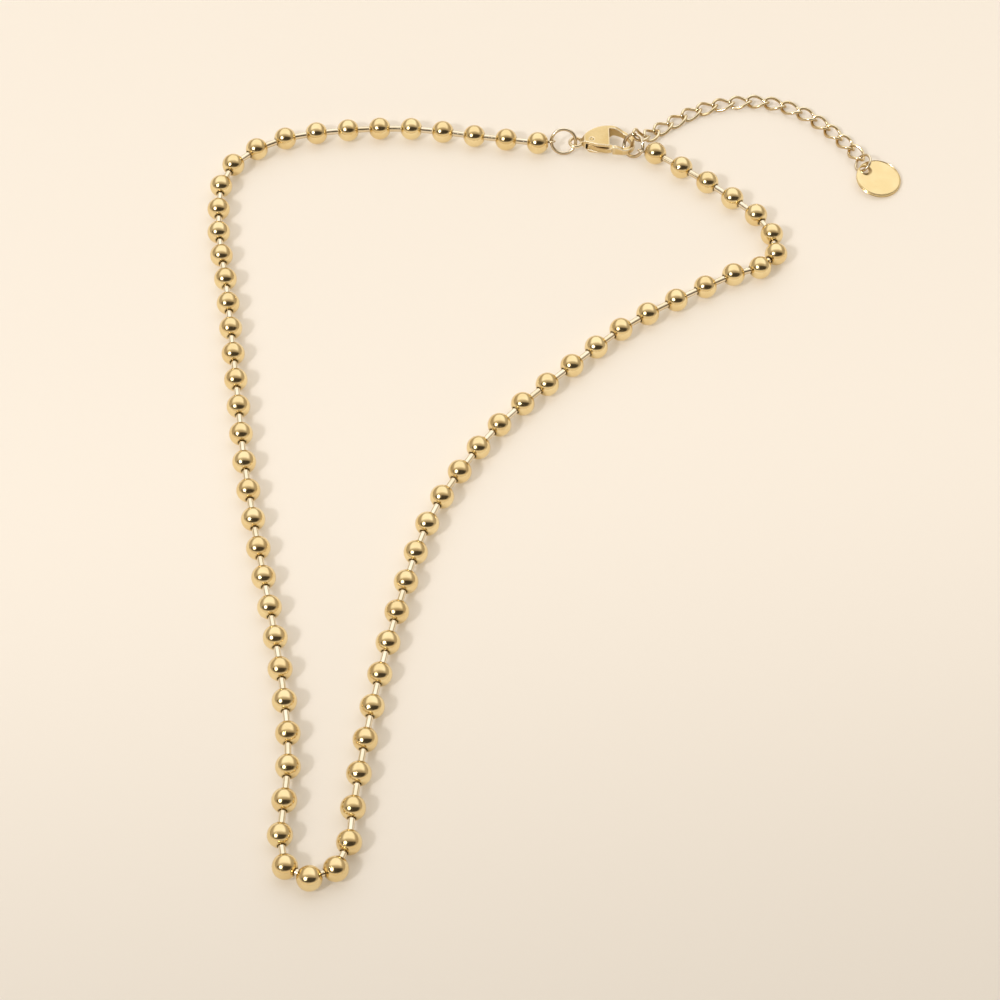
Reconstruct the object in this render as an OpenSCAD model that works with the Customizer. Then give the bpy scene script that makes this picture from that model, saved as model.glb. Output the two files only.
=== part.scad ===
// Ball chain necklace with a lobster clasp, an extension chain and a round tag.
// It lies fastened on a surface at z = 0, in millimetres, with the clasp at the far side.

/* [Ball chain] */
// Outside diameter of a ball
ball_d = 4; // [3.6:0.1:4.4]
// Thickness of a ball's shell
ball_wall = 0.25; // [0.2:0.05:0.35]
// Gap between two balls that are pushed together
ball_gap = 0.15; // [0.1:0.05:0.3]
// Length of rod that shows between two balls pulled apart
rod_show = 2.05; // [1.9:0.05:2.3]
// Diameter of a rod
rod_d = 1.1; // [0.8:0.1:1.2]
// Length of the head at each end of a rod
head_t = 0.3; // [0.24:0.02:0.36]

/* [Rings and eyes] */
// Wire of the two clasp rings
ring_wire = 0.6; // [0.5:0.05:0.7]
// Outside diameter of the ring at the clasp's tail
clasp_ring_d = 5; // [4.6:0.1:5.4]
// Lean of that ring from the surface
clasp_ring_tilt = 56; // [46:1:58]
// Outside diameter of the ring that the clasp hooks
end_ring_d = 4.6; // [4.5:0.05:4.7]
// Lean of that ring from the surface
end_ring_tilt = 53; // [50:1:56]
// Clockwise turn of that ring in plan
end_ring_turn = 45; // [43:1:47]
// Wire of the eye at each end of the ball chain
eye_wire = 0.4; // [0.3:0.05:0.5]

/* [Clasp] */
// Length from the centre of the tail eye to the end of the nose
clasp_l = 10.75; // [10.5:0.05:11]
// Thickness over the cheeks
clasp_t = 2.7; // [2.5:0.1:3]
// Radius of the nose's outer edge
nose_r = 2.2; // [2.1:0.05:2.4]
// Width of the nose bar in plan
nose_w = 0.85; // [0.75:0.05:0.95]
// Thickness of the nose bar
nose_t = 1.1; // [1:0.05:1.2]
// Radius of the curved back
back_r = 5.45; // [5.3:0.05:5.6]
// Width of the rail behind the window
rail_w = 0.75; // [0.6:0.05:0.9]
// Distance from the tail eye to the window
cheek_l = 6.1; // [5.9:0.1:6.4]
// Wire of the tail eye
tail_wire = 0.64; // [0.5:0.02:0.8]
// Diameter of the lever's pin
pin_d = 0.7; // [0.5:0.1:0.9]
// Thickness of the lever
lever_t = 1.1; // [0.8:0.1:1.2]
// Width of the lever's arm
lever_w = 1; // [0.9:0.05:1.1]
// Radius of the lever's round butt
butt_r = 0.9; // [0.8:0.05:1]

/* [Extension chain] */
// Wire of a link
link_wire = 0.55; // [0.45:0.05:0.6]
// Outside length of a link
link_l = 4.45; // [4.35:0.05:4.45]
// Outside width of a link
link_w = 3; // [2.9:0.1:3.3]
// Twist of a link from end to end
link_twist = 90; // [80:2:100]

/* [Tag] */
// Diameter of the tag
tag_d = 8.1; // [7:0.1:9]
// Thickness of the tag
tag_t = 0.55; // [0.4:0.05:0.7]
// Diameter of the tag's hole
tag_hole_d = 1.6; // [1.5:0.1:1.8]
// Metal between the hole and the tag's edge
tag_edge = 0.25; // [0.2:0.05:0.35]
// Outside diameter of the tag's ring
tag_ring_d = 3.7; // [3.65:0.05:3.75]
// Wire of the tag's ring
tag_ring_wire = 0.5; // [0.4:0.05:0.6]

/* [Hidden] */
$fn = 48;

// Ball chain in plan from the clasp ring round to the end ring: x, y, share of the rod that shows
chain_route = [
    [-13.5, 71, 0.9], [-26.5, 73, 0.85], [-38.5, 72.5, 0.85], [-49, 70.5, 0.85], [-55.5, 66.5, 0.75],
    [-59.5, 60.5, 0.75], [-59.5, 48, 0.7], [-57.5, 36, 0.75], [-54.5, 14, 0.85], [-52, -4, 0.95],
    [-48.5, -22.5, 0.9], [-45, -39.5, 0.95], [-42.5, -56, 0.95], [-42.5, -64, 0.95], [-43, -75, 0.9],
    [-41.5, -78.5, 0.15], [-37.5, -80, 0.05], [-33.5, -77.5, 0.3], [-32.5, -73.5, 0.85], [-32, -66.5, 1],
    [-29.5, -48.5, 1], [-26, -31, 0.95], [-21.5, -14.5, 0.95], [-15, -2, 0.9], [-8, 7.5, 0.95],
    [2.5, 18, 0.9], [13, 27.5, 0.9], [26, 35.5, 0.95], [31.5, 38.5, 0.6], [36, 40, 0.2], [38.5, 43, 0.2],
    [38, 47.5, 0.4], [35.5, 52, 0.75], [27, 60, 0.85]
];
end_share = 0.85;

// Extension chain in plan from its first flat link to the tag
extension_route = [[19.85, 74.45], [25.8, 78.4], [31.6, 80.4], [37.9, 80.9], [44, 78.9], [48.9, 75.1], [55, 67.8]];

// Clearances
rod_play = 0.12;
head_grip = 0.08;
seat_gap = 0.1;
ring_gap = 0.2;
eye_gap = 0.1;
pin_run = 0.05;
pin_fit = 0.02;
lever_side = 0.1;
tip_gap = 0.15;

module gold() {
    color([0.85, 0.68, 0.36]) children();
}

// Geometry helpers
function unit(v) = v / norm(v);
function polar(r, a) = [r * cos(a), r * sin(a)];
function arc(c, r, a, b, n = 12) = [for (i = [0 : n]) c + polar(r, a + (b - a) * i / n)];
function turned(v, a) = [v.x * cos(a) - v.y * sin(a), v.x * sin(a) + v.y * cos(a), v.z];
function tilted(v, a) = [v.x, v.y * cos(a) - v.z * sin(a), v.y * sin(a) + v.z * cos(a)];
function plan(v) = [v.x, v.y];
function running(v) = [for (i = 0, s = 0; i <= len(v); s = s + (i < len(v) ? v[i] : 0), i = i + 1) s];

// Placement with its origin at o, its Z along z and its X as near as can be to x
module place(o, z, x) {
    w = unit(z);
    v = unit(cross(w, x));
    u = cross(v, w);
    multmatrix([[u.x, v.x, w.x, o.x], [u.y, v.y, w.y, o.y], [u.z, v.z, w.z, o.z], [0, 0, 0, 1]]) children();
}

module ring(r, wire) {
    rotate_extrude() translate([r, 0]) circle(d = wire);
}

// Smooth curve through the points p, with a few steps in each stretch
function curve_point(p, i, t) =
    let (
        a = i > 0 ? p[i - 1] : 2 * p[0] - p[1],
        b = p[i],
        c = p[i + 1],
        d = i + 2 < len(p) ? p[i + 2] : 2 * c - b
    )
    (2 * b + (c - a) * t + (2 * a - 5 * b + 4 * c - d) * pow(t, 2) + (3 * b - a - 3 * c + d) * pow(t, 3)) / 2;
function curve(p, steps = 12) =
    [for (i = [0 : len(p) - 2], k = [0 : steps - 1]) curve_point(p, i, k / steps), p[len(p) - 1]];

// Clasp: the tail eye is its origin in plan, u runs to the nose and v to the back
clasp_at = [3.8, 69.75];
tail_z = 1.85;
tail_r = ring_wire / 2 + 0.45 + tail_wire / 2;
nose_at = [clasp_l - nose_r, -0.05];
back_lean = 36;
back_at = nose_at - polar(back_r - nose_r, back_lean);
pin_at = [2.9, 0.1];
lever_out = -1.7;
lever_bulge = [4, -1.38];
lever_reach = 4;
lever_root = -110;
slot_u = pin_at.x - butt_r - 0.15;
slot_v = 1.35;
nose_z = ring_wire + 0.2;

// Ring at the clasp's tail
clasp_ring_r = (clasp_ring_d - ring_wire) / 2;
clasp_ring_at = [clasp_at.x - clasp_ring_r, clasp_at.y, ring_wire / 2 + clasp_ring_r * sin(clasp_ring_tilt)];
clasp_ring_left = clasp_ring_at - [clasp_ring_r, 0, 0];

// Ring on the clasp's nose
end_ring_r = (end_ring_d - ring_wire) / 2;
end_ring_at = [clasp_at.x + clasp_l - 0.3, clasp_at.y - 0.8, ring_wire / 2 + end_ring_r * sin(end_ring_tilt)];
function on_end_ring(a) =
    end_ring_at + turned(tilted([end_ring_r * cos(a), end_ring_r * sin(a), 0], end_ring_tilt), -end_ring_turn);
function along_end_ring(a) = turned(tilted([-sin(a), cos(a), 0], end_ring_tilt), -end_ring_turn);
right_eye_angle = 2;
right_eye_at = on_end_ring(right_eye_angle);

// Ends of the ball chain
eye_r = ring_wire / 2 + eye_gap + eye_wire / 2;
eye_reach = ball_d / 2 + ring_gap + ring_wire / 2;
first_ball = plan(clasp_ring_left) + polar(eye_reach, 187);
right_eye_rise = ball_d / 2 - right_eye_at.z;
last_ball = plan(right_eye_at) + polar(sqrt(pow(eye_reach, 2) - pow(right_eye_rise, 2)), -15);

// Ball centres: each step along the chain counts the share of a ball pitch that it covers
chain_line = curve(concat(
    [[first_ball.x, first_ball.y, end_share]], chain_route, [[last_ball.x, last_ball.y, end_share]]));
function pitch(share) = ball_d + ball_gap + share * (rod_show - ball_gap);
chain_count = running([for (i = [0 : len(chain_line) - 2])
    norm(plan(chain_line[i + 1]) - plan(chain_line[i])) / pitch((chain_line[i].z + chain_line[i + 1].z) / 2)]);
chain_x = [for (i = [0 : len(chain_line) - 1]) [chain_count[i], chain_line[i].x]];
chain_y = [for (i = [0 : len(chain_line) - 1]) [chain_count[i], chain_line[i].y]];
chain_total = chain_count[len(chain_count) - 1];
rods_n = round(chain_total);
ball_at = [for (k = [0 : rods_n]) let (c = k * chain_total / rods_n) [lookup(c, chain_x), lookup(c, chain_y), ball_d / 2]];

// Rod with its heads
hole_r = rod_d / 2 + rod_play;
head_r = hole_r + head_grip;
ball_ri = ball_d / 2 - ball_wall;
seat_x = sqrt(pow(ball_ri - seat_gap, 2) - pow(head_r, 2));
neck_l = ball_d + rod_show - 2 * seat_x;
head_side = 0.08;
tip_r = 0.25;

// Half of a rod's head, as an outline from the tip at z = 0 to its back
function head_outline(z, s) = [[0, z], [tip_r, z], [head_r, z + s * (head_t - head_side)], [head_r, z + s * head_t]];

module balls() {
    gold() for (k = [0 : rods_n]) {
        before = k > 0 ? ball_at[k - 1] : clasp_ring_left;
        after = k < rods_n ? ball_at[k + 1] : right_eye_at;
        way = after - before;
        difference() {
            translate(ball_at[k]) rotate([0, 0, atan2(way.y, way.x) + 90]) difference() {
                sphere(d = ball_d);
                sphere(r = ball_ri);
            }
            for (to = [before, after])
                place(ball_at[k], to - ball_at[k], [0, 0, 1]) cylinder(r = hole_r, h = ball_d);
        }
    }
}

module rods() {
    half = neck_l / 2 + head_t;
    low = head_outline(-half, 1);
    high = head_outline(half, -1);
    outline = concat(low, [[rod_d / 2, -neck_l / 2], [rod_d / 2, neck_l / 2]], [for (i = [3 : -1 : 0]) high[i]]);
    gold() for (k = [0 : rods_n - 1])
        place((ball_at[k] + ball_at[k + 1]) / 2, ball_at[k + 1] - ball_at[k], [0, 0, 1])
            rotate_extrude() polygon(outline);
}

// Eye at an end of the ball chain: its head sits in the ball at o, its eye holds a ring's wire at p
module end_eye(o, p, wire_way) {
    reach = norm(p - o);
    outline = concat(head_outline(seat_x - head_t, 1),
        [[eye_wire * 0.6, seat_x], [eye_wire * 0.6, reach - eye_r], [0, reach - eye_r]]);
    gold() place(o, p - o, wire_way) {
        rotate_extrude() polygon(outline);
        translate([0, 0, reach]) rotate([0, 90, 0]) ring(eye_r, eye_wire);
    }
}

module left_eye() {
    end_eye(ball_at[0], clasp_ring_left, tilted([0, 1, 0], clasp_ring_tilt));
}

module right_eye() {
    end_eye(ball_at[rods_n], right_eye_at, along_end_ring(right_eye_angle));
}

module clasp_ring() {
    gold() translate(clasp_ring_at) rotate([clasp_ring_tilt, 0, 0]) ring(clasp_ring_r, ring_wire);
}

module end_ring() {
    gold() translate(end_ring_at) rotate([end_ring_tilt, 0, -end_ring_turn]) ring(end_ring_r, ring_wire);
}

// Plan of the clasp's body
neck_u = tail_r;
neck_far = 0.5;
neck_near = -0.35;
cheek_far_angle = 150;
cheek_near = -1.55;
hook_turn = -100;
rail_turn = 45;
window_turn = 30;
cheek_bulge = [[3.95, -1.25], [2.4, -0.72]];
module clasp_plan() {
    inner_r = nose_r - nose_w;
    hook_low = nose_at + polar(nose_r, hook_turn);
    tip_r = lever_reach + tip_gap;
    hook_v = nose_at.y - inner_r;
    tip_top = asin((hook_v - pin_at.y) / tip_r);
    tip_low = asin((hook_low.y - 0.5 - pin_at.y) / tip_r);
    rail_r = back_r - rail_w;
    rail_start = acos((cheek_l - back_at.x) / rail_r);
    difference() {
        polygon(concat(
            [[neck_u - 0.3, neck_near], [neck_u - 0.3, neck_far]],
            arc(back_at, back_r, cheek_far_angle, back_lean),
            arc(nose_at, nose_r, back_lean, hook_turn),
            [[pin_at.x + lever_reach, hook_low.y + 0.1], [cheek_l, cheek_near]],
            cheek_bulge, [[neck_u, neck_near]]));
        polygon(concat(
            [[cheek_l, hook_low.y - 0.5]],
            arc(back_at, rail_r, rail_start, rail_turn),
            arc(nose_at, inner_r, window_turn, -90),
            arc(pin_at, tip_r, tip_top, tip_low, 6)));
    }
}

// Side of the clasp's body: thin at the tail, thick over the cheeks and thinner at the nose
module clasp_side() {
    tail_half = tail_wire / 2 + 0.05;
    polygon([
        [0, tail_z - tail_half], [neck_u - 0.2, tail_z - tail_half], [neck_u + 1.4, 0], [cheek_l, 0],
        [cheek_l + 0.8, nose_z], [clasp_l, nose_z], [clasp_l, nose_z + nose_t],
        [cheek_l + 2.5, nose_z + nose_t + 0.2], [cheek_l + 1.1, clasp_t], [neck_u + 0.5, clasp_t],
        [neck_u - 0.2, tail_z + tail_half], [0, tail_z + tail_half]]);
}

// Cross-section of the clasp's body over the cheeks, with its lower corners and upper near corner cut off
module clasp_section() {
    low = (clasp_t - lever_t) / 2 - lever_side;
    polygon([
        [-0.7, 0], [2.7, 0], [3.6, 0.6], [3.6, clasp_t], [cheek_near, clasp_t],
        [-nose_r - 1, clasp_t - 0.3], [-nose_r - 1, low], [cheek_near - 0.2, low]]);
}

module clasp_body() {
    slot_h = lever_t + 2 * lever_side;
    gold() translate([clasp_at.x, clasp_at.y, 0]) {
        translate([0, 0, tail_z]) ring(tail_r, tail_wire);
        difference() {
            intersection() {
                linear_extrude(clasp_t) clasp_plan();
                translate([0, clasp_l / 2, 0]) rotate([90, 0, 0]) linear_extrude(clasp_l) clasp_side();
                rotate([90, 0, 90]) linear_extrude(clasp_l) clasp_section();
            }
            translate([slot_u, lever_out - 1, (clasp_t - slot_h) / 2])
                cube([cheek_l + 0.1 - slot_u, slot_v - lever_out + 1, slot_h]);
            translate([pin_at.x, pin_at.y, -1]) cylinder(r = pin_d / 2 + pin_fit, h = clasp_t + 2);
        }
    }
}

module clasp_lever() {
    tip_low = asin((lever_out - pin_at.y) / lever_reach);
    tip_top = asin((lever_out + lever_w - pin_at.y) / lever_reach);
    gold() translate([clasp_at.x, clasp_at.y, (clasp_t - lever_t) / 2]) linear_extrude(lever_t) difference() {
        union() {
            translate(pin_at) circle(r = butt_r);
            polygon(concat([pin_at + polar(butt_r, lever_root), lever_bulge, [lever_reach + 1.5, lever_out]],
                arc(pin_at, lever_reach, tip_low, tip_top, 4),
                [[pin_at.x + butt_r, pin_at.y + 0.15], pin_at]));
        }
        translate(pin_at) circle(r = pin_d / 2 + pin_run);
    }
}

module clasp_pin() {
    gold() translate([clasp_at.x + pin_at.x, clasp_at.y + pin_at.y, 0]) cylinder(d = pin_d, h = clasp_t);
}

// Twisted link along X, as an oval of wire whose plane turns along its length
link_a = (link_l - link_wire) / 2;
link_b = (link_w - link_wire) / 2;
link_pitch = 2 * link_a - link_wire - 0.15;
link_rings = 16;
wire_sides = 6;
function link_point(t) =
    let (a = link_a * cos(t), b = link_b * sin(t), w = link_twist * cos(t) / 2)
    [a, b * cos(w), -b * sin(w)];
function link_ring(t) =
    let (
        way = unit(link_point(t + 1) - link_point(t - 1)),
        out = unit(cross(way, cross(link_point(t), way))),
        side = cross(way, out)
    )
    [for (s = [0 : wire_sides - 1]) let (a = 360 * s / wire_sides)
        link_point(t) + link_wire / 2 * (cos(a) * out + sin(a) * side)];
link_mesh = [for (i = [0 : link_rings - 1]) each link_ring(360 * i / link_rings)];
link_faces = [for (i = [0 : link_rings - 1], s = [0 : wire_sides - 1])
    let (
        a = i * wire_sides + s,
        b = i * wire_sides + (s + 1) % wire_sides,
        c = (i + 1) % link_rings * wire_sides + s,
        d = (i + 1) % link_rings * wire_sides + (s + 1) % wire_sides
    )
    each [[a, b, d], [a, d, c]]];

module link() {
    polyhedron(link_mesh, link_faces);
}

// Flat links, evenly spaced along their route
extension_line = curve(extension_route);
extension_run = running([for (i = [0 : len(extension_line) - 2]) norm(extension_line[i + 1] - extension_line[i])]);
extension_x = [for (i = [0 : len(extension_line) - 1]) [extension_run[i], extension_line[i].x]];
extension_y = [for (i = [0 : len(extension_line) - 1]) [extension_run[i], extension_line[i].y]];
function extension_at(s) = [lookup(s, extension_x), lookup(s, extension_y)];
flat_links = floor(extension_run[len(extension_run) - 1] / link_pitch);
link_z = link_wire / 2 + link_b * 0.383 + 0.01;
function flat_link_at(k) = [extension_at(k * link_pitch).x, extension_at(k * link_pitch).y, link_z];

// Links off the surface, each beside what holds it: two from the end ring down, and the last one
first_link_at = end_ring_at + [1.23, 1.75, 0.81];
first_link_turn = [8, 36, 30];
second_link_at = (first_link_at + flat_link_at(0)) / 2 + [-0.12, -0.15, -0.56];
second_link_turn = [11, 18, 52];
last_link_at = flat_link_at(flat_links - 1) + [1.67, -2.69, 0.24];
last_link_turn = [10, -5, -63];

module extension_links() {
    gold() {
        for (k = [0 : flat_links - 1]) {
            s = k * link_pitch;
            way = extension_at(s + 0.5) - extension_at(s - 0.5);
            translate(flat_link_at(k)) rotate([0, 0, atan2(way.y, way.x)]) link();
        }
        translate(first_link_at) rotate(first_link_turn) link();
        translate(second_link_at) rotate(second_link_turn) link();
        translate(last_link_at) rotate(last_link_turn) link();
    }
}

// Ring through the last link and the tag's hole
tag_ring_r = (tag_ring_d - tag_ring_wire) / 2;
tag_ring_at = last_link_at + [1.03, -2.65, 0.37];
tag_ring_turn = [43, 0, -82];

module tag_ring() {
    gold() translate(tag_ring_at) rotate(tag_ring_turn) ring(tag_ring_r, tag_ring_wire);
}

// Tag, with its hole near the rim and that side raised on its ring
tag_at = plan(tag_ring_at) + [2.52, -3.34];
tag_turn = 145;
tag_tilt = 8;
tag_hole_x = tag_d / 2 - tag_edge - tag_hole_d / 2;
tag_z = tag_d / 2 * sin(tag_tilt) + 0.01;

module tag() {
    gold() translate([tag_at.x, tag_at.y, tag_z]) rotate([0, -tag_tilt, tag_turn]) difference() {
        cylinder(d = tag_d, h = tag_t);
        translate([tag_hole_x, 0, -1]) cylinder(d = tag_hole_d, h = tag_t + 2);
    }
}

balls();
rods();
left_eye();
right_eye();
clasp_ring();
end_ring();
clasp_body();
clasp_lever();
clasp_pin();
extension_links();
tag_ring();
tag();
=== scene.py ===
import math

import bmesh
import bpy
import numpy as np
from mathutils import Matrix, Vector


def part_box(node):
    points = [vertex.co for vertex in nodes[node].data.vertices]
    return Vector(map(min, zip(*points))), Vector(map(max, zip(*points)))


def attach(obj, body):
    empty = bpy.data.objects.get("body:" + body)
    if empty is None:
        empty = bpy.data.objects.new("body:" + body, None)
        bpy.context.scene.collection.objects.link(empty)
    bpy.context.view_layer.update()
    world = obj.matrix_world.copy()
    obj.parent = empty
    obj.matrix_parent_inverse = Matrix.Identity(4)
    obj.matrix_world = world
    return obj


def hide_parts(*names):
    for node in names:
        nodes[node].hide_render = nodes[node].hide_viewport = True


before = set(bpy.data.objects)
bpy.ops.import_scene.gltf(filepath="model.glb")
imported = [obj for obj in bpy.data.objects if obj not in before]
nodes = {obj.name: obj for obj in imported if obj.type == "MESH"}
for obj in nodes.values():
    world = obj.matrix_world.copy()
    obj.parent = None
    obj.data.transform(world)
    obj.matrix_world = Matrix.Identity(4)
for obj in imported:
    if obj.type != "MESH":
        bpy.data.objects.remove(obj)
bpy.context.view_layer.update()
scene = bpy.context.scene
mm = 0.001
print("frame loaded,", len(nodes), "nodes")


# Node trees, for materials and for geometry

class Wire:
    # One output socket, which can be used in sums
    def __init__(self, board, socket):
        self.board = board
        self.socket = socket

    def math(self, operation, a, b=0.0):
        return self.board.add("ShaderNodeMath", {"operation": operation}, {0: a, 1: b})

    def __add__(self, other):
        return self.math("ADD", self, other)

    def __radd__(self, other):
        return self.math("ADD", other, self)

    def __sub__(self, other):
        return self.math("SUBTRACT", self, other)

    def __rsub__(self, other):
        return self.math("SUBTRACT", other, self)

    def __mul__(self, other):
        return self.math("MULTIPLY", self, other)

    def __rmul__(self, other):
        return self.math("MULTIPLY", other, self)

    def __truediv__(self, other):
        return self.math("DIVIDE", self, other)

    def __rtruediv__(self, other):
        return self.math("DIVIDE", other, self)

    def sine(self):
        return self.math("SINE", self)

    def cosine(self):
        return self.math("COSINE", self)

    def span(self, low, high, start=0.0, end=1.0):
        settings = {"interpolation_type": "SMOOTHSTEP"}
        return self.board.add("ShaderNodeMapRange", settings, {0: self, 1: low, 2: high, 3: start, 4: end})


class Board:
    # A node tree that gets its nodes one call at a time
    def __init__(self, tree):
        self.tree = tree
        tree.nodes.clear()

    def add(self, kind, settings=None, sockets=None, out=0):
        node = self.tree.nodes.new(kind)
        for key, value in (settings or {}).items():
            if key == "stops":
                self.setStops(node.color_ramp, value)
            else:
                setattr(node, key, value)
        for key, value in (sockets or {}).items():
            if isinstance(value, Wire):
                self.tree.links.new(value.socket, node.inputs[key])
            else:
                node.inputs[key].default_value = value
        return Wire(self, node.outputs[out]) if node.outputs else node

    def setStops(self, ramp, stops):
        while len(ramp.elements) > 1:
            ramp.elements.remove(ramp.elements[-1])
        for i, (place, colour) in enumerate(stops):
            stop = ramp.elements[0] if i == 0 else ramp.elements.new(place)
            stop.position = place
            stop.color = (*colour, 1)

    def split(self, vector):
        axes = self.tree.nodes.new("ShaderNodeSeparateXYZ")
        self.tree.links.new(vector.socket, axes.inputs[0])
        return [Wire(self, socket) for socket in axes.outputs]

    def noise(self, place, scale, detail, roughness=0.5):
        sockets = {"Vector": place, "Scale": scale, "Detail": detail, "Roughness": roughness}
        return self.add("ShaderNodeTexNoise", {}, sockets)

    def surfaceMark(self, name):
        return self.add("ShaderNodeAttribute", {"attribute_name": name}, out=2)

    def pointValue(self, name, kind="FLOAT_VECTOR"):
        return self.add("GeometryNodeInputNamedAttribute", {"data_type": kind}, {"Name": name})

    def blend(self, share, a, b):
        return self.add("ShaderNodeMix", {"data_type": "RGBA"}, {"Factor": share, 6: a, 7: b}, 2)


# Gold finishes

goldTones = {
    "bright": (0.90, 0.745, 0.425, 1),
    "deep": (0.84, 0.66, 0.345, 1),
    "cast": (0.74, 0.57, 0.29, 1),
    "castDeep": (0.67, 0.485, 0.215, 1),
    "pale": (0.95, 0.87, 0.70, 1),
    "paleDeep": (0.88, 0.77, 0.55, 1),
    "wire": (0.98, 0.88, 0.63, 1),
    "wireDeep": (0.92, 0.77, 0.48, 1),
    # Colour of the painted shade on sides, undersides and in the lever's slot
    "shadeUmber": (0.40, 0.245, 0.075, 1),
    "tag": (0.89, 0.72, 0.405, 1),
    "tagDeep": (0.84, 0.66, 0.345, 1),
    # Pale edge colour: wear and a painted highlight along the rims
    "wornAndSheen": (0.98, 0.90, 0.72, 1),
    # Dark colour of dirt round the ball holes, and of dirt and painted shade in hollows
    "grimeAndShade": (0.24, 0.155, 0.06, 1),
}

# Scales count patches in a metre
goldGrain = {
    "cloudScale": 260.0,
    "speckScale": 2600.0,
    "rippleScale": 520.0,
    "hairTurn": (0.3, 0.5, 0.9),
    "hairScale": (900, 9000, 9000),
    "crossedTurn": (0.9, 0.2, 2.2),
    "crossedScale": (700, 8000, 8000),
    # Share of dirt and painted shade in hollows
    "hollowDirtAndShade": 0.7,
    "bumpStrength": 0.35,
    "bumpDepth": 0.00003,
}


def hairLines(board, place, turn, scale):
    drawnOut = board.add("ShaderNodeMapping", {}, {"Vector": place, "Rotation": turn, "Scale": scale})
    return board.noise(drawnOut, 1.0, 2.0)


def goldFinish(name, tones, gloss, scratches, waviness, rimDirt=0.0, edgeWearAndSheen=0.0, paintedShade=0.0):
    # gloss is the roughness, scratches and waviness are bump shares, the rest are shares of colour
    g = goldGrain
    material = bpy.data.materials.new(name)
    material.use_nodes = True
    board = Board(material.node_tree)
    place = board.add("ShaderNodeTexCoord", out=3)
    cloud = board.noise(place, g["cloudScale"], 3.0)
    speck = board.noise(place, g["speckScale"], 4.0, 0.6)
    ripple = board.noise(place, g["rippleScale"], 1.0)
    hair = hairLines(board, place, g["hairTurn"], g["hairScale"])
    hairAcross = hairLines(board, place, g["crossedTurn"], g["crossedScale"])
    lines = hair.span(0.62, 0.72) + hairAcross.span(0.63, 0.73)
    colour = board.blend(cloud.span(0.35, 0.65), goldTones[tones[0]], goldTones[tones[1]])
    rough = gloss + cloud.span(0.3, 0.7) * (gloss * 0.35) + speck.span(0.5, 0.75) * (gloss * 0.5)
    rough = rough + lines * 0.05
    if rimDirt:
        dirtAndShade = board.surfaceMark("rim") * speck.span(0.3, 0.6, 0.55, 1.0) * rimDirt
        colour = board.blend(dirtAndShade, colour, goldTones["grimeAndShade"])
        rough = rough + dirtAndShade * 0.25
    # Edges are lightened by wear and by a painted highlight
    if edgeWearAndSheen:
        edge = board.surfaceMark("edge")
        colour = board.blend(edge * edgeWearAndSheen, colour, goldTones["wornAndSheen"])
        # Hollows are darkened by dirt and by painted shade
        hollow = board.surfaceMark("hollow")
        dirtAndShade = hollow * speck.span(0.25, 0.6, 0.5, 1.0) * g["hollowDirtAndShade"]
        colour = board.blend(dirtAndShade, colour, goldTones["grimeAndShade"])
        rough = rough + hollow * 0.2 + edge * 0.04
    # Painted shade: blends towards umber where the mesh is marked as facing sideways or down, or lying in
    # the slot
    if paintedShade:
        colour = board.blend(board.surfaceMark("painted_shade") * paintedShade, colour, goldTones["shadeUmber"])
    height = ripple * waviness + speck * (waviness * 0.12) - lines * scratches
    bump = {"Height": height, "Strength": g["bumpStrength"], "Distance": g["bumpDepth"]}
    normal = board.add("ShaderNodeBump", {}, bump)
    shader = board.add("ShaderNodeBsdfPrincipled", {}, {
        "Base Color": colour,
        "Metallic": 1.0,
        "Roughness": rough,
        "Normal": normal,
    })
    board.add("ShaderNodeOutputMaterial", {}, {"Surface": shader})
    return material


polished = ("bright", "deep")
cast = ("cast", "castDeep")
pale = ("pale", "paleDeep")
wire = ("wire", "wireDeep")
ballGold = goldFinish("ball_gold_finish", polished, 0.10, 0.25, 0.8, rimDirt=0.8)
# Rods, wire rings, links and the lever carry painted shade
rodGold = goldFinish("rod_gold_finish", pale, 0.12, 0.4, 0.4, paintedShade=0.35)
wireGold = goldFinish("wire_gold_finish", pale, 0.09, 0.3, 0.5, paintedShade=0.7)
# The clasp and lever get pale edges from wear and a painted highlight, and dirt and painted shade in
# hollows
claspGold = goldFinish("clasp_gold_finish", cast, 0.17, 0.35, 1.6, edgeWearAndSheen=0.9)
leverGold = goldFinish("lever_gold_finish", cast, 0.16, 0.35, 0.9, edgeWearAndSheen=0.9, paintedShade=0.9)
linkGold = goldFinish("link_gold_finish", wire, 0.09, 0.25, 0.5, paintedShade=0.72)
tagGold = goldFinish("tag_gold_finish", ("tag", "tagDeep"), 0.15, 0.35, 0.6)
print("finishes made")


# Mesh helpers. Shapes are made in millimetres and turned into metres before finishPiece

def addObject(name, mesh):
    piece = bpy.data.objects.new(name, mesh)
    scene.collection.objects.link(piece)
    return piece


def shadeSmooth(mesh):
    mesh.polygons.foreach_set("use_smooth", [True] * len(mesh.polygons))


def meshFrom(name, points, faces):
    mesh = bpy.data.meshes.new(name)
    mesh.from_pydata([tuple(p) for p in points], [], faces)
    work = bmesh.new()
    work.from_mesh(mesh)
    bmesh.ops.recalc_face_normals(work, faces=work.faces)
    work.to_mesh(mesh)
    work.free()
    shadeSmooth(mesh)
    return mesh


def ringedMesh(name, rings, closed):
    # Rows of points joined with quads; an open row of rings gets a point at each end
    around = len(rings[0])
    points = [p for ring in rings for p in ring]
    faces = []
    for i in range(len(rings) if closed else len(rings) - 1):
        a, b = i * around, (i + 1) % len(rings) * around
        faces += [(a + k, a + (k + 1) % around, b + (k + 1) % around, b + k) for k in range(around)]
    if not closed:
        for start, ring in ((0, rings[0]), (len(points) - around, rings[-1])):
            points.append(sum((Vector(p) for p in ring), Vector()) / around)
            tip = len(points) - 1
            faces += [(start + k, start + (k + 1) % around, tip) for k in range(around)]
    return meshFrom(name, points, faces)


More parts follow.
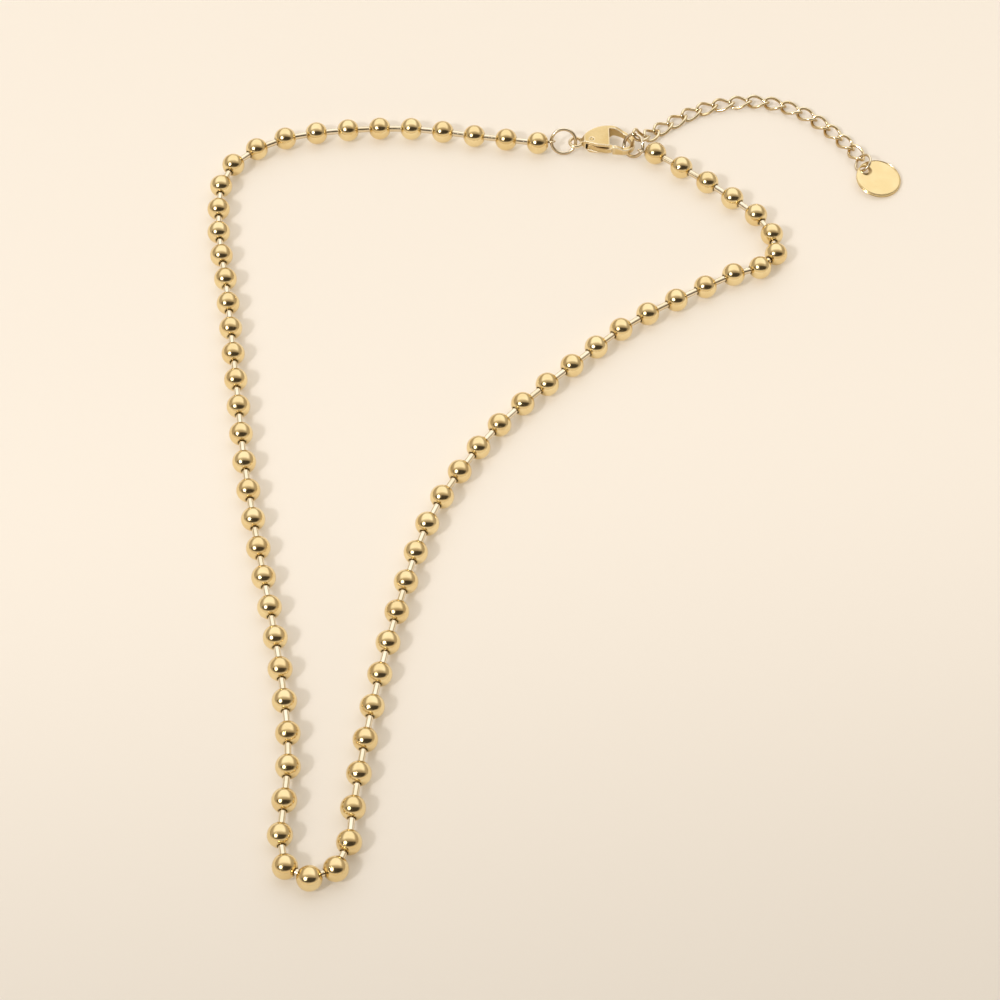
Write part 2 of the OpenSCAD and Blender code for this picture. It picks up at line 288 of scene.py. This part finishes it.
def roundTurn(steps):
    return [2 * math.pi * k / steps for k in range(steps)]


def revolved(name, profile, around, closed):
    turns = roundTurn(around)
    rings = [[(r * math.cos(t), r * math.sin(t), z) for t in turns] for r, z in profile]
    return ringedMesh(name, rings, closed)


def arcPoints(centre, radius, start, end, steps):
    angles = [math.radians(start + (end - start) * i / steps) for i in range(steps + 1)]
    return [(centre[0] + radius * math.cos(a), centre[1] + radius * math.sin(a)) for a in angles]


def turned(degrees, axis):
    return Matrix.Rotation(math.radians(degrees), 4, axis)


def finishPiece(piece, body, material, slot, *replaced):
    piece.data.materials.clear()
    piece.data.materials.append(material)
    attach(piece, body)
    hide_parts(*replaced)
    return piece


def setAttribute(mesh, name, values):
    mesh.attributes.new(name, "FLOAT", "POINT").data.foreach_set("value", np.asarray(values, np.float32))


def vertexRows(mesh, key):
    values = np.zeros(len(mesh.vertices) * 3)
    mesh.vertices.foreach_get(key, values)
    return values.reshape(-1, 3)


def smoothShare(share):
    return share * share * (3 - 2 * share)


def markPaintedShade(mesh, low=0.1, high=0.9):
    # Stores painted shade: 0 where the surface faces up and 1 where it faces sideways or down
    share = np.clip((high - vertexRows(mesh, "normal")[:, 2]) / (high - low), 0, 1)
    setAttribute(mesh, "painted_shade", smoothShare(share))


def keepResult(piece):
    # Keeps what the piece's modifiers make as its plain mesh
    bpy.context.view_layer.update()
    made = piece.evaluated_get(bpy.context.evaluated_depsgraph_get())
    result = bpy.data.meshes.new_from_object(made)
    piece.modifiers.clear()
    piece.data = result
    return result


# Geometry trees that set copies on points

def pointCloud(name, rows):
    # One point for each row, with the row's other values as attributes
    mesh = bpy.data.meshes.new(name)
    mesh.from_pydata([row["at"] for row in rows], [], [])
    for key, value in rows[0].items():
        if key == "at":
            continue
        if isinstance(value, (int, float)):
            setAttribute(mesh, key, [row[key] for row in rows])
        else:
            values = np.array([list(row[key]) for row in rows], np.float32).ravel()
            mesh.attributes.new(key, "FLOAT_VECTOR", "POINT").data.foreach_set("vector", values)
    return addObject(name, mesh)


def newTree(name, inputs):
    # Gives the tree's board, and a wire for its points and for each further input
    tree = bpy.data.node_groups.new(name, "GeometryNodeTree")
    tree.interface.new_socket("Geometry", in_out="INPUT", socket_type="NodeSocketGeometry")
    for label, kind in inputs:
        tree.interface.new_socket(label, in_out="INPUT", socket_type="NodeSocket" + kind)
    tree.interface.new_socket("Geometry", in_out="OUTPUT", socket_type="NodeSocketGeometry")
    board = Board(tree)
    entry = tree.nodes.new("NodeGroupInput")
    return board, [Wire(board, entry.outputs[i]) for i in range(len(inputs) + 1)]


def placeCopies(board, points, shape, turn, size=(1, 1, 1)):
    sockets = {"Points": points, "Instance": shape, "Rotation": turn, "Scale": size}
    placed = board.add("GeometryNodeInstanceOnPoints", {}, sockets)
    return board.add("GeometryNodeRealizeInstances", {}, {0: placed})


def placeAlong(board, points, template, size):
    # A copy of the template on each point, its own z axis along the chain
    along = board.pointValue("along")
    turn = board.add("FunctionNodeAlignRotationToVector", {"axis": "Z"}, {"Vector": along})
    shape = board.add("GeometryNodeObjectInfo", {}, {"Object": template}, 4)
    return placeCopies(board, points, shape, turn, size)


def endTree(board, geometry, finish):
    done = board.add("GeometryNodeSetMaterial", {}, {"Geometry": geometry, "Material": finish})
    board.add("NodeGroupOutput", {}, {0: done})
    return board.tree


def runTree(piece, tree, values):
    # Puts the tree on the piece, sets its inputs and keeps the result
    modifier = piece.modifiers.new(tree.name, "NODES")
    modifier.node_group = tree
    for item in tree.interface.items_tree:
        if item.in_out == "INPUT" and item.name in values:
            modifier[item.identifier] = values[item.name]
    keepResult(piece)


# Where the balls of the part lie

def loosePieces(node):
    # Points of each loose piece of a CAD node, in millimetres
    work = bmesh.new()
    work.from_mesh(nodes[node].data)
    bmesh.ops.remove_doubles(work, verts=work.verts, dist=1e-7)
    left = set(work.verts)
    pieces = []
    while left:
        start = left.pop()
        found, edge = [start], [start]
        while edge:
            vertex = edge.pop()
            for link in vertex.link_edges:
                other = link.other_vert(vertex)
                if other in left:
                    left.remove(other)
                    found.append(other)
                    edge.append(other)
        pieces.append(np.array([v.co for v in found]) / mm)
    work.free()
    return pieces


# Millimetres, apart from around, leanFrom, leanOver and dirtReach
ballString = {
    "radius": 2.0,
    "wall": 0.25,
    "hole": 0.67,
    "rimRound": 0.07,
    "around": 32,
    "rodDiameter": 1.1,
    "rodLength": 4.15,
    "headRadius": 0.75,
    "headLength": 0.3,
    "leanFrom": 0.22,
    "leanOver": 0.56,
    "dirtReach": 0.09,
}


def ballCentre(points):
    # Least squares fit of a sphere to the points of the ball's outside
    guess = (points.min(0) + points.max(0)) / 2
    middle = ballString["radius"] - ballString["wall"] / 2
    for _ in range(3):
        outer = points[np.linalg.norm(points - guess, axis=1) > middle]
        rows = np.hstack([2 * outer, np.ones((len(outer), 1))])
        guess = np.linalg.lstsq(rows, (outer ** 2).sum(1), rcond=None)[0][:3]
    return Vector(guess)


def boxMiddle(node):
    low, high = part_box(node)
    return (low + high) / 2 / mm


def orderedBalls():
    # From the clasp ring's side round the loop, always on to the nearest ball left
    left = [ballCentre(points) for points in loosePieces("balls")]
    here = boxMiddle("left_eye")
    row = []
    while left:
        here = min(left, key=lambda c: (c - here).length)
        left.remove(here)
        row.append(here)
    return row


balls = orderedBalls()
print("balls found:", len(balls))


# Balls: hollow, drilled towards both neighbours

def ballProfile():
    # For a ball of radius 1, which the tree scales
    s = ballString
    inner, rim = 1 - s["wall"] / s["radius"], s["rimRound"] / s["radius"]
    hole = s["hole"] / s["radius"]
    rimAt = hole + rim
    rimHeight = math.sqrt((1 - rim) ** 2 - rimAt ** 2)
    tilt = math.degrees(math.atan2(rimHeight, rimAt))
    top = arcPoints((rimAt, rimHeight), rim, 180, tilt, 3)
    innerStart = math.degrees(math.acos(hole / inner))
    outer = arcPoints((0, 0), 1, tilt, -tilt, 20)[1:-1]
    bottom = [(r, -z) for r, z in reversed(top)]
    inside = arcPoints((0, 0), inner, -innerStart, innerStart, 7)
    return top + outer + bottom + inside


def ballTemplate():
    # lean is the share of the bend that a point takes, rim the dirt round the holes and inside
    s = ballString
    mesh = revolved("ball", ballProfile(), s["around"], True)
    hole = s["hole"] / s["radius"]
    lean, rim = [], []
    for v in mesh.vertices:
        side = math.hypot(v.co.x, v.co.y)
        polar = math.atan2(side, v.co.z) / math.pi
        lean.append(smoothShare(min(max((polar - s["leanFrom"]) / s["leanOver"], 0), 1)))
        rim.append(max(0, 1 - (side - hole) / s["dirtReach"]) if v.co.length > 0.9 else 1)
    setAttribute(mesh, "lean", lean)
    setAttribute(mesh, "rim", rim)
    return addObject("ballTemplate", mesh)


def ballTree():
    # Each ball is bent a little, so that its two holes face its two neighbours
    inputs = [("Ball", "Object"), ("Ball radius", "Float"), ("Finish", "Material")]
    board, (points, ball, radius, finish) = newTree("ballsOnChain", inputs)
    whole = placeAlong(board, points, ball, radius)
    turnedPlace = board.add("ShaderNodeVectorRotate", {"rotation_type": "AXIS_ANGLE"}, {
        "Vector": board.add("GeometryNodeInputPosition"),
        "Center": board.pointValue("centre"),
        "Axis": board.pointValue("hinge"),
        "Angle": board.pointValue("bend", "FLOAT") * board.pointValue("lean", "FLOAT"),
    })
    bent = board.add("GeometryNodeSetPosition", {}, {"Geometry": whole, "Position": turnedPlace})
    return endTree(board, bent, finish)


def makeBalls():
    rows = []
    ends = [boxMiddle("left_eye")] + balls + [boxMiddle("right_eye")]
    for i, centre in enumerate(balls):
        before = (ends[i] - centre).normalized()
        after = (ends[i + 2] - centre).normalized()
        hinge = (-after).cross(before)
        rows.append({
            "at": centre * mm,
            "centre": centre * mm,
            "along": after,
            "hinge": hinge.normalized() if hinge.length > 1e-6 else Vector((0, 0, 1)),
            "bend": (-after).angle(before),
        })
    template = ballTemplate()
    piece = pointCloud("ball_string", rows)
    values = {"Ball": template, "Ball radius": ballString["radius"] * mm, "Finish": ballGold}
    runTree(piece, ballTree(), values)
    bpy.data.objects.remove(template)
    return finishPiece(piece, "necklace", ballGold, "ball_gold", "balls")


makeBalls()
print("balls made")


# Rods between the balls, with a head inside each ball

def rodTemplate():
    # For a rod of radius 1 and length 1, which the tree scales; its middle is a trace thinner
    s = ballString
    head, headLength = 2 * s["headRadius"] / s["rodDiameter"], s["headLength"] / s["rodLength"]
    half, waist = 0.5 + headLength, 0.012
    side = [(0.35 * head, half), (head * 0.93, half - 0.1 * headLength), (head, half - 0.5 * headLength),
            (head, 0.5), (1.06, 0.498), (1, 0.49)]
    middle = [(1 - waist * math.cos(math.pi * z), z) for z in (0.35, 0.2, 0, -0.2, -0.35)]
    profile = side + middle + [(r, -z) for r, z in reversed(side)]
    return addObject("rodTemplate", revolved("rod", profile, 28, False))


def rodTree():
    inputs = [("Rod", "Object"), ("Rod diameter", "Float"), ("Rod length", "Float"), ("Finish", "Material")]
    board, (points, rod, thick, length, finish) = newTree("rodsOnChain", inputs)
    size = board.add("ShaderNodeCombineXYZ", {}, {0: thick * 0.5, 1: thick * 0.5, 2: length})
    return endTree(board, placeAlong(board, points, rod, size), finish)


def makeRods():
    rows = [{"at": (a + b) / 2 * mm, "along": (b - a).normalized()} for a, b in zip(balls, balls[1:])]
    template = rodTemplate()
    piece = pointCloud("rod_string", rows)
    runTree(piece, rodTree(), {
        "Rod": template,
        "Rod diameter": ballString["rodDiameter"] * mm,
        "Rod length": ballString["rodLength"] * mm,
        "Finish": rodGold,
    })
    markPaintedShade(piece.data, 0.0, 0.75)
    bpy.data.objects.remove(template)
    return finishPiece(piece, "necklace", rodGold, "rod_gold", "rods")


makeRods()
print("rods made")


# Wire rings, soldered shut

wireRings = {
    "clasp_ring": {"diameter": 5.0, "wire": 0.6, "tilt": 56, "turn": 0},
    "end_ring": {"diameter": 4.6, "wire": 0.6, "tilt": 53, "turn": -45},
    "tag_ring": {"diameter": 3.7, "wire": 0.5, "tilt": 43, "turn": -82},
}
ringSteps = {"around": 112, "wireSides": 24}


def makeRing(node):
    s = wireRings[node]
    radius = (s["diameter"] - s["wire"]) / 2
    profile = arcPoints((radius, 0), s["wire"] / 2, 0, 360, ringSteps["wireSides"])[:-1]
    mesh = revolved(node, profile, ringSteps["around"], True)
    turn = turned(s["turn"], "Z") @ turned(s["tilt"], "X")
    mesh.transform(Matrix.Scale(mm, 4) @ Matrix.Translation(boxMiddle(node)) @ turn)
    markPaintedShade(mesh)
    return finishPiece(addObject(node + "_wire", mesh), "necklace", wireGold, "wire_gold", node)


for node in wireRings:
    makeRing(node)
print("rings made")


# Pieces with softened edges, from the part's own solids

# Painted shade where the lever lies between the cheeks: up to x = endsAt, in millimetres
slotShade = {"endsAt": 9.8, "fades": 0.5, "low": 0.4, "high": 0.9}


def markSlotShade(mesh):
    # Stores painted shade on the upper and lower edge of the lever where it lies between the cheeks
    x, _, z = vertexRows(mesh, "co").T
    middle, half = (z.max() + z.min()) / 2, (z.max() - z.min()) / 2
    outer = (np.abs(z - middle) / half - slotShade["low"]) / (slotShade["high"] - slotShade["low"])
    inside = (slotShade["endsAt"] - x) / slotShade["fades"]
    setAttribute(mesh, "painted_shade", np.clip(outer, 0, 1) * np.clip(inside, 0, 1))


def markEdges(mesh):
    # Stores how far each point stands out of its surroundings, or lies in a hollow
    at = vertexRows(mesh, "co")
    out = vertexRows(mesh, "normal")
    pairs = np.zeros(len(mesh.edges) * 2, int)
    mesh.edges.foreach_get("vertices", pairs)
    a, b = pairs.reshape(-1, 2).T
    near = np.zeros(len(at))
    np.add.at(near, a, 1)
    np.add.at(near, b, 1)

    def average(values):
        total = np.zeros_like(values)
        np.add.at(total, a, values[b])
        np.add.at(total, b, values[a])
        return total / (near if values.ndim == 1 else near[:, None])

    wide = at
    for _ in range(6):
        wide = average(wide)
    bulge = ((at - wide) * out).sum(1)
    for _ in range(3):
        bulge = average(bulge)
    top = np.percentile(np.abs(bulge), 97)
    setAttribute(mesh, "edge", np.clip(bulge / top, 0, 1))
    setAttribute(mesh, "hollow", np.clip(-bulge / top, 0, 1))


def remeshed(node, voxel, rounds):
    # A copy of the CAD solid with even faces and rounded edges
    mesh = nodes[node].data.copy()
    work = bmesh.new()
    work.from_mesh(mesh)
    bmesh.ops.scale(work, vec=(1 / mm,) * 3, verts=work.verts)
    bmesh.ops.remove_doubles(work, verts=work.verts, dist=0.0005)
    work.to_mesh(mesh)
    work.free()
    piece = addObject(node + "_soft", mesh)
    even = piece.modifiers.new("even", "REMESH")
    even.mode = "VOXEL"
    even.voxel_size = voxel
    smooth = piece.modifiers.new("smooth", "SMOOTH")
    smooth.factor = 0.5
    smooth.iterations = rounds
    result = keepResult(piece)
    markEdges(result)
    if node == "clasp_lever":
        markSlotShade(result)
    else:
        markPaintedShade(result)
    result.transform(Matrix.Scale(mm, 4))
    shadeSmooth(result)
    return piece


# Voxels are in millimetres; more rounds soften the edges more
castPieces = {
    "clasp_body": {"voxel": 0.055, "rounds": 16, "finish": claspGold, "slot": "clasp_gold"},
    "clasp_lever": {"voxel": 0.045, "rounds": 10, "finish": leverGold, "slot": "lever_gold"},
    "left_eye": {"voxel": 0.035, "rounds": 4, "finish": wireGold, "slot": "wire_gold"},
    "right_eye": {"voxel": 0.035, "rounds": 4, "finish": wireGold, "slot": "wire_gold"},
}
for node, s in castPieces.items():
    piece = remeshed(node, s["voxel"], s["rounds"])
    body = "lever" if node == "clasp_lever" else "necklace"
    finishPiece(piece, body, s["finish"], s["slot"], node)
    print(node, "softened,", len(piece.data.polygons), "faces")


# Pin of the clasp's lever, filed flush and slightly domed

leverPin = {"edge": 0.06, "sunk": 0.02, "sides": 32}


def makePin():
    low, high = (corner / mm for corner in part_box("clasp_pin"))
    radius, edge, sunk = (high.x - low.x) / 2, leverPin["edge"], leverPin["sunk"]
    cap = [(0.4 * radius, 0), (radius - edge, sunk / 2), (radius - 0.3 * edge, sunk + 0.3 * edge),
           (radius, sunk + edge)]
    tall = high.z - low.z
    profile = cap + [(r, tall - z) for r, z in reversed(cap)]
    mesh = revolved("pin", profile, leverPin["sides"], False)
    place = Matrix.Translation(((low.x + high.x) / 2, (low.y + high.y) / 2, low.z))
    mesh.transform(Matrix.Scale(mm, 4) @ place)
    markPaintedShade(mesh)
    return finishPiece(addObject("clasp_rivet", mesh), "necklace", leverGold, "lever_gold", "clasp_pin")


makePin()
print("clasp made")


# Extension chain: twisted links. Sizes, route and places repeat the part's, in millimetres and degrees

extension = {
    "halfLength": 1.95,
    "halfWidth": 1.225,
    "wire": 0.55,
    "twist": 90,
    "pitch": 3.2,
    "height": 0.754,
    "flat": 13,
    "route": [(19.85, 74.45), (25.8, 78.4), (31.6, 80.4), (37.9, 80.9), (44, 78.9), (48.9, 75.1),
              (55, 67.8)],
    "firstLink": ((1.23, 1.75, 0.81), (8, 36, 30)),
    "secondLink": ((-0.12, -0.15, -0.56), (11, 18, 52)),
    "lastLink": ((1.67, -2.69, 0.24), (10, -5, -63)),
    "steps": 72,
    "wireSides": 14,
}


def smoothRoute(points, steps=12):
    p = [Vector((*q, 0)) for q in points]
    p = [2 * p[0] - p[1]] + p + [2 * p[-1] - p[-2]]
    line = []
    for i in range(1, len(p) - 2):
        a, b, c, d = p[i - 1:i + 3]
        slope, bow, sway = c - a, 2 * a - 5 * b + 4 * c - d, 3 * b - a - 3 * c + d
        for k in range(steps):
            t = k / steps
            line.append((2 * b + slope * t + bow * t ** 2 + sway * t ** 3) / 2)
    line.append(p[-2])
    return line


def linkRows():
    line = smoothRoute(extension["route"])
    run = [0]
    for a, b in zip(line, line[1:]):
        run.append(run[-1] + (b - a).length)

    def onLine(s):
        x = np.interp(s, run, [p.x for p in line])
        y = np.interp(s, run, [p.y for p in line])
        return Vector((x, y, extension["height"]))

    def hanging(base, link):
        shift, turn = extension[link]
        return {"at": base + Vector(shift), "turn": tuple(map(math.radians, turn))}

    rows = []
    for k in range(extension["flat"]):
        s = k * extension["pitch"]
        way = onLine(s + 0.5) - onLine(max(s - 0.5, 0))
        rows.append({"at": onLine(s), "turn": (0, 0, math.atan2(way.y, way.x))})
    first, last = rows[0]["at"], rows[-1]["at"]
    rows.append(hanging(boxMiddle("end_ring"), "firstLink"))
    rows.append(hanging((rows[-1]["at"] + first) / 2, "secondLink"))
    rows.append(hanging(last, "lastLink"))
    for row in rows:
        row["at"] = row["at"] * mm
    return rows


def linkTree():
    steps = extension["steps"]
    inputs = [(label, "Float") for label in ("Half length", "Half width", "Twist", "Wire")]
    board, wires = newTree("twistedLinks", inputs + [("Finish", "Material")])
    points, long, wide, twist, thick, finish = wires
    loop = board.add("GeometryNodeCurvePrimitiveCircle", {}, {"Resolution": steps, "Radius": 0.01})
    around = board.add("GeometryNodeInputIndex") * (2 * math.pi / steps)
    lean = twist * around.cosine() * 0.5
    spot = board.add("ShaderNodeCombineXYZ", {}, {
        0: long * around.cosine(),
        1: wide * around.sine() * lean.cosine(),
        2: wide * around.sine() * lean.sine() * -1.0,
    })
    shaped = board.add("GeometryNodeSetPosition", {}, {"Geometry": loop, "Position": spot})
    outline = {"Resolution": extension["wireSides"], "Radius": thick * 0.5}
    section = board.add("GeometryNodeCurvePrimitiveCircle", {}, outline)
    metal = board.add("GeometryNodeCurveToMesh", {}, {"Curve": shaped, "Profile Curve": section})
    turn = board.add("FunctionNodeEulerToRotation", {}, {0: board.pointValue("turn")})
    whole = placeCopies(board, points, metal, turn)
    return endTree(board, board.add("GeometryNodeSetShadeSmooth", {}, {0: whole}), finish)


def makeLinks():
    piece = pointCloud("extension_chain", linkRows())
    runTree(piece, linkTree(), {
        "Half length": extension["halfLength"] * mm,
        "Half width": extension["halfWidth"] * mm,
        "Twist": math.radians(extension["twist"]),
        "Wire": extension["wire"] * mm,
        "Finish": linkGold,
    })
    markPaintedShade(piece.data)
    return finishPiece(piece, "necklace", linkGold, "link_gold", "extension_links")


makeLinks()
print("extension chain made")


# Round tag with a rounded rim and hole

tagPlate = {
    "radius": 4.05,
    "thick": 0.55,
    "hole": 0.8,
    "holeAt": 3.0,
    "edge": 0.12,
    "turn": 145,
    "tilt": 8,
    "lift": 0.01,
    "around": 120,
    "faceRings": (0.15, 0.32, 0.5, 0.68, 0.85),
}


def makeTag():
    s = tagPlate
    turns = roundTurn(s["around"])

    def circle(x, radius, z):
        return [(x + radius * math.cos(t), radius * math.sin(t), z) for t in turns]

    def corner(steps=4):
        return [(s["edge"] * (1 - math.sin(a)), s["edge"] * (1 - math.cos(a)))
                for a in (math.pi / 2 * i / steps for i in range(steps + 1))]

    rim = [circle(0, s["radius"] - inset, s["thick"] - drop) for drop, inset in corner()]
    hole = [circle(s["holeAt"], s["hole"] + inset, s["thick"] - drop) for drop, inset in corner()]
    face = []
    for share in s["faceRings"]:
        face.append([tuple(Vector(p).lerp(Vector(q), share)) for p, q in zip(hole[0], rim[0])])
    upper = list(reversed(hole)) + face + rim
    lower = [[(x, y, s["thick"] - z) for x, y, z in ring] for ring in reversed(upper)]
    mesh = ringedMesh("tag", upper + lower, True)
    mesh.transform(turned(s["turn"], "Z") @ turned(-s["tilt"], "Y"))
    own = np.array([v.co for v in mesh.vertices])
    shift = boxMiddle("tag") - Vector((own.min(0) + own.max(0)) / 2)
    height = s["radius"] * math.sin(math.radians(s["tilt"])) + s["lift"]
    mesh.transform(Matrix.Scale(mm, 4) @ Matrix.Translation((shift.x, shift.y, height)))
    return finishPiece(addObject("tag_plate", mesh), "necklace", tagGold, "tag_gold", "tag")


makeTag()
print("tag made")


# Surface that the necklace lies on, with a small glow of its own that keeps the shadows pale, and a painted
# falloff of light that darkens it towards the front and to the right

surface = {
    "size": 3.0,
    "near": (0.545, 0.508, 0.468, 1),
    "far": (0.73, 0.68, 0.632, 1),
    "nearGlow": (0.57, 0.505, 0.385, 1),
    "farGlow": (0.76, 0.675, 0.515, 1),
    "glow": 0.355,
    "paintedFalloffFrom": -0.145,
    "paintedFalloffTo": 0.01,
    "paintedFalloffLean": 0.12,
    "grainScale": 900.0,
    "grainBump": 0.05,
    "roughness": 0.75,
}


def surfaceFinish():
    s = surface
    material = bpy.data.materials.new("surface_finish")
    material.use_nodes = True
    board = Board(material.node_tree)
    place = board.add("ShaderNodeTexCoord", out=3)
    grain = board.noise(place, s["grainScale"], 3.0)
    across, away, _ = board.split(place)
    # Painted falloff of light: darker towards the front and to the right
    share = (away - across * s["paintedFalloffLean"]).span(s["paintedFalloffFrom"], s["paintedFalloffTo"])
    bump = {"Height": grain, "Strength": s["grainBump"], "Distance": 0.0001}
    normal = board.add("ShaderNodeBump", {}, bump)
    shader = board.add("ShaderNodeBsdfPrincipled", {}, {
        "Base Color": board.blend(share, s["near"], s["far"]),
        "Emission Color": board.blend(share, s["nearGlow"], s["farGlow"]),
        "Emission Strength": s["glow"],
        "Roughness": s["roughness"],
        "Normal": normal,
    })
    board.add("ShaderNodeOutputMaterial", {}, {"Surface": shader})
    return material


def makeSurface():
    half = surface["size"] / 2
    corners = [(-half, -half, 0), (half, -half, 0), (half, half, 0), (-half, half, 0)]
    mesh = bpy.data.meshes.new("surface")
    mesh.from_pydata(corners, [], [(0, 1, 2, 3)])
    mesh.materials.append(surfaceFinish())
    addObject("surface", mesh)


makeSurface()


# Light: a lamp at the left in front, a soft box above, a pale room and a dark band before the box.
# Box and band are places in the sky: side and depth over height. Halo angles are in degrees

light = {
    "keyFrom": (-0.527, -0.478, 0.703),
    "keyDistance": 1.4,
    "keySize": 0.15,
    "keyPower": 5.5,
    "keyColour": (0.98, 0.98, 0.98),
    "haloBright": 3.0,
    "haloInner": 8,
    "haloOuter": 18,
    "boxBright": 1.2,
    "boxHalfWidth": 1.45,
    "boxNear": -0.2,
    "boxFar": 7.0,
    "roomBright": 0.5,
    "frontBright": 0.85,
    "bandDark": 0.06,
    "bandHalfWidth": 3.2,
    "bandStart": -0.2,
    "bandEnd": -2.6,
    "roomTint": (1.0, 0.84, 0.66),
    "boxTint": (1.0, 0.97, 0.93),
    "lowestHeight": 0.02,
}


def makeKey():
    lamp = bpy.data.lights.new("key", "AREA")
    lamp.shape = "DISK"
    lamp.size = light["keySize"]
    lamp.energy = light["keyPower"]
    lamp.color = light["keyColour"]
    holder = addObject("key", lamp)
    way = Vector(light["keyFrom"]).normalized()
    holder.location = way * light["keyDistance"]
    holder.rotation_euler = way.to_track_quat("Z", "Y").to_euler()


def boxShare(side, depth):
    half, near, far = light["boxHalfWidth"], light["boxNear"], light["boxFar"]
    across = side.span(half - 0.7, half + 0.3, 1, 0)
    return across * depth.span(near, near + 0.5) * depth.span(far / 2, far, 1, 0)


def bandShare(side, depth):
    start, end, wide = light["bandStart"], light["bandEnd"], light["bandHalfWidth"]
    inDepth = depth.span(start - 0.35, start, 1, 0) * depth.span(end, end + 0.9)
    return inDepth * side.span(wide - 1.6, wide + 0.8, 1, 0)


def haloShare(board, place):
    way = Vector(light["keyFrom"]).normalized()
    toKey = board.add("ShaderNodeVectorMath", {"operation": "DOT_PRODUCT"}, {0: place, 1: way}, 1)
    inner, outer = (math.cos(math.radians(light[key])) for key in ("haloInner", "haloOuter"))
    return toKey.span(outer, inner)


def makeSky():
    world = bpy.data.worlds.new("sky")
    scene.world = world
    world.use_nodes = True
    board = Board(world.node_tree)
    place = board.add("ShaderNodeTexCoord", out=0)
    across, away, up = board.split(place)
    high = up.math("MAXIMUM", up, light["lowestHeight"])
    side = up.math("ABSOLUTE", across / high)
    depth = away / high
    box = boxShare(side, depth)
    band = bandShare(side, depth)
    halo = haloShare(board, place)
    end = light["bandEnd"]
    front = depth.span(end - 0.6, end + 0.4, 1, 0)
    room = light["roomBright"]
    glow = room + box * (light["boxBright"] - room) + front * (light["frontBright"] - room)
    glow = glow - band * (room - light["bandDark"]) + halo * light["haloBright"]
    stops = [(0, light["roomTint"]), (1, light["boxTint"])]
    tint = board.add("ShaderNodeValToRGB", {"stops": stops}, {0: box + halo})
    back = board.add("ShaderNodeBackground", {}, {"Color": tint, "Strength": glow})
    board.add("ShaderNodeOutputWorld", {}, {"Surface": back})


makeKey()
makeSky()


# Camera, at the photo's angle, in millimetres and degrees

shot = {"target": (-9.9, -10.4, 2.0), "distance": 447.96, "elevation": 54, "lens": 98.46, "sensor": 36}


def makeCamera():
    lens = bpy.data.cameras.new("camera")
    lens.lens = shot["lens"]
    lens.sensor_width = shot["sensor"]
    lens.clip_start = 0.01
    lens.clip_end = 10
    camera = addObject("camera", lens)
    lift = math.radians(shot["elevation"])
    back = Vector((0, -math.cos(lift), math.sin(lift))) * shot["distance"]
    camera.location = (Vector(shot["target"]) + back) * mm
    camera.rotation_euler = (math.pi / 2 - lift, 0, 0)
    scene.camera = camera


makeCamera()
scene.view_settings.view_transform = "Standard"
print("stage, light and camera made")
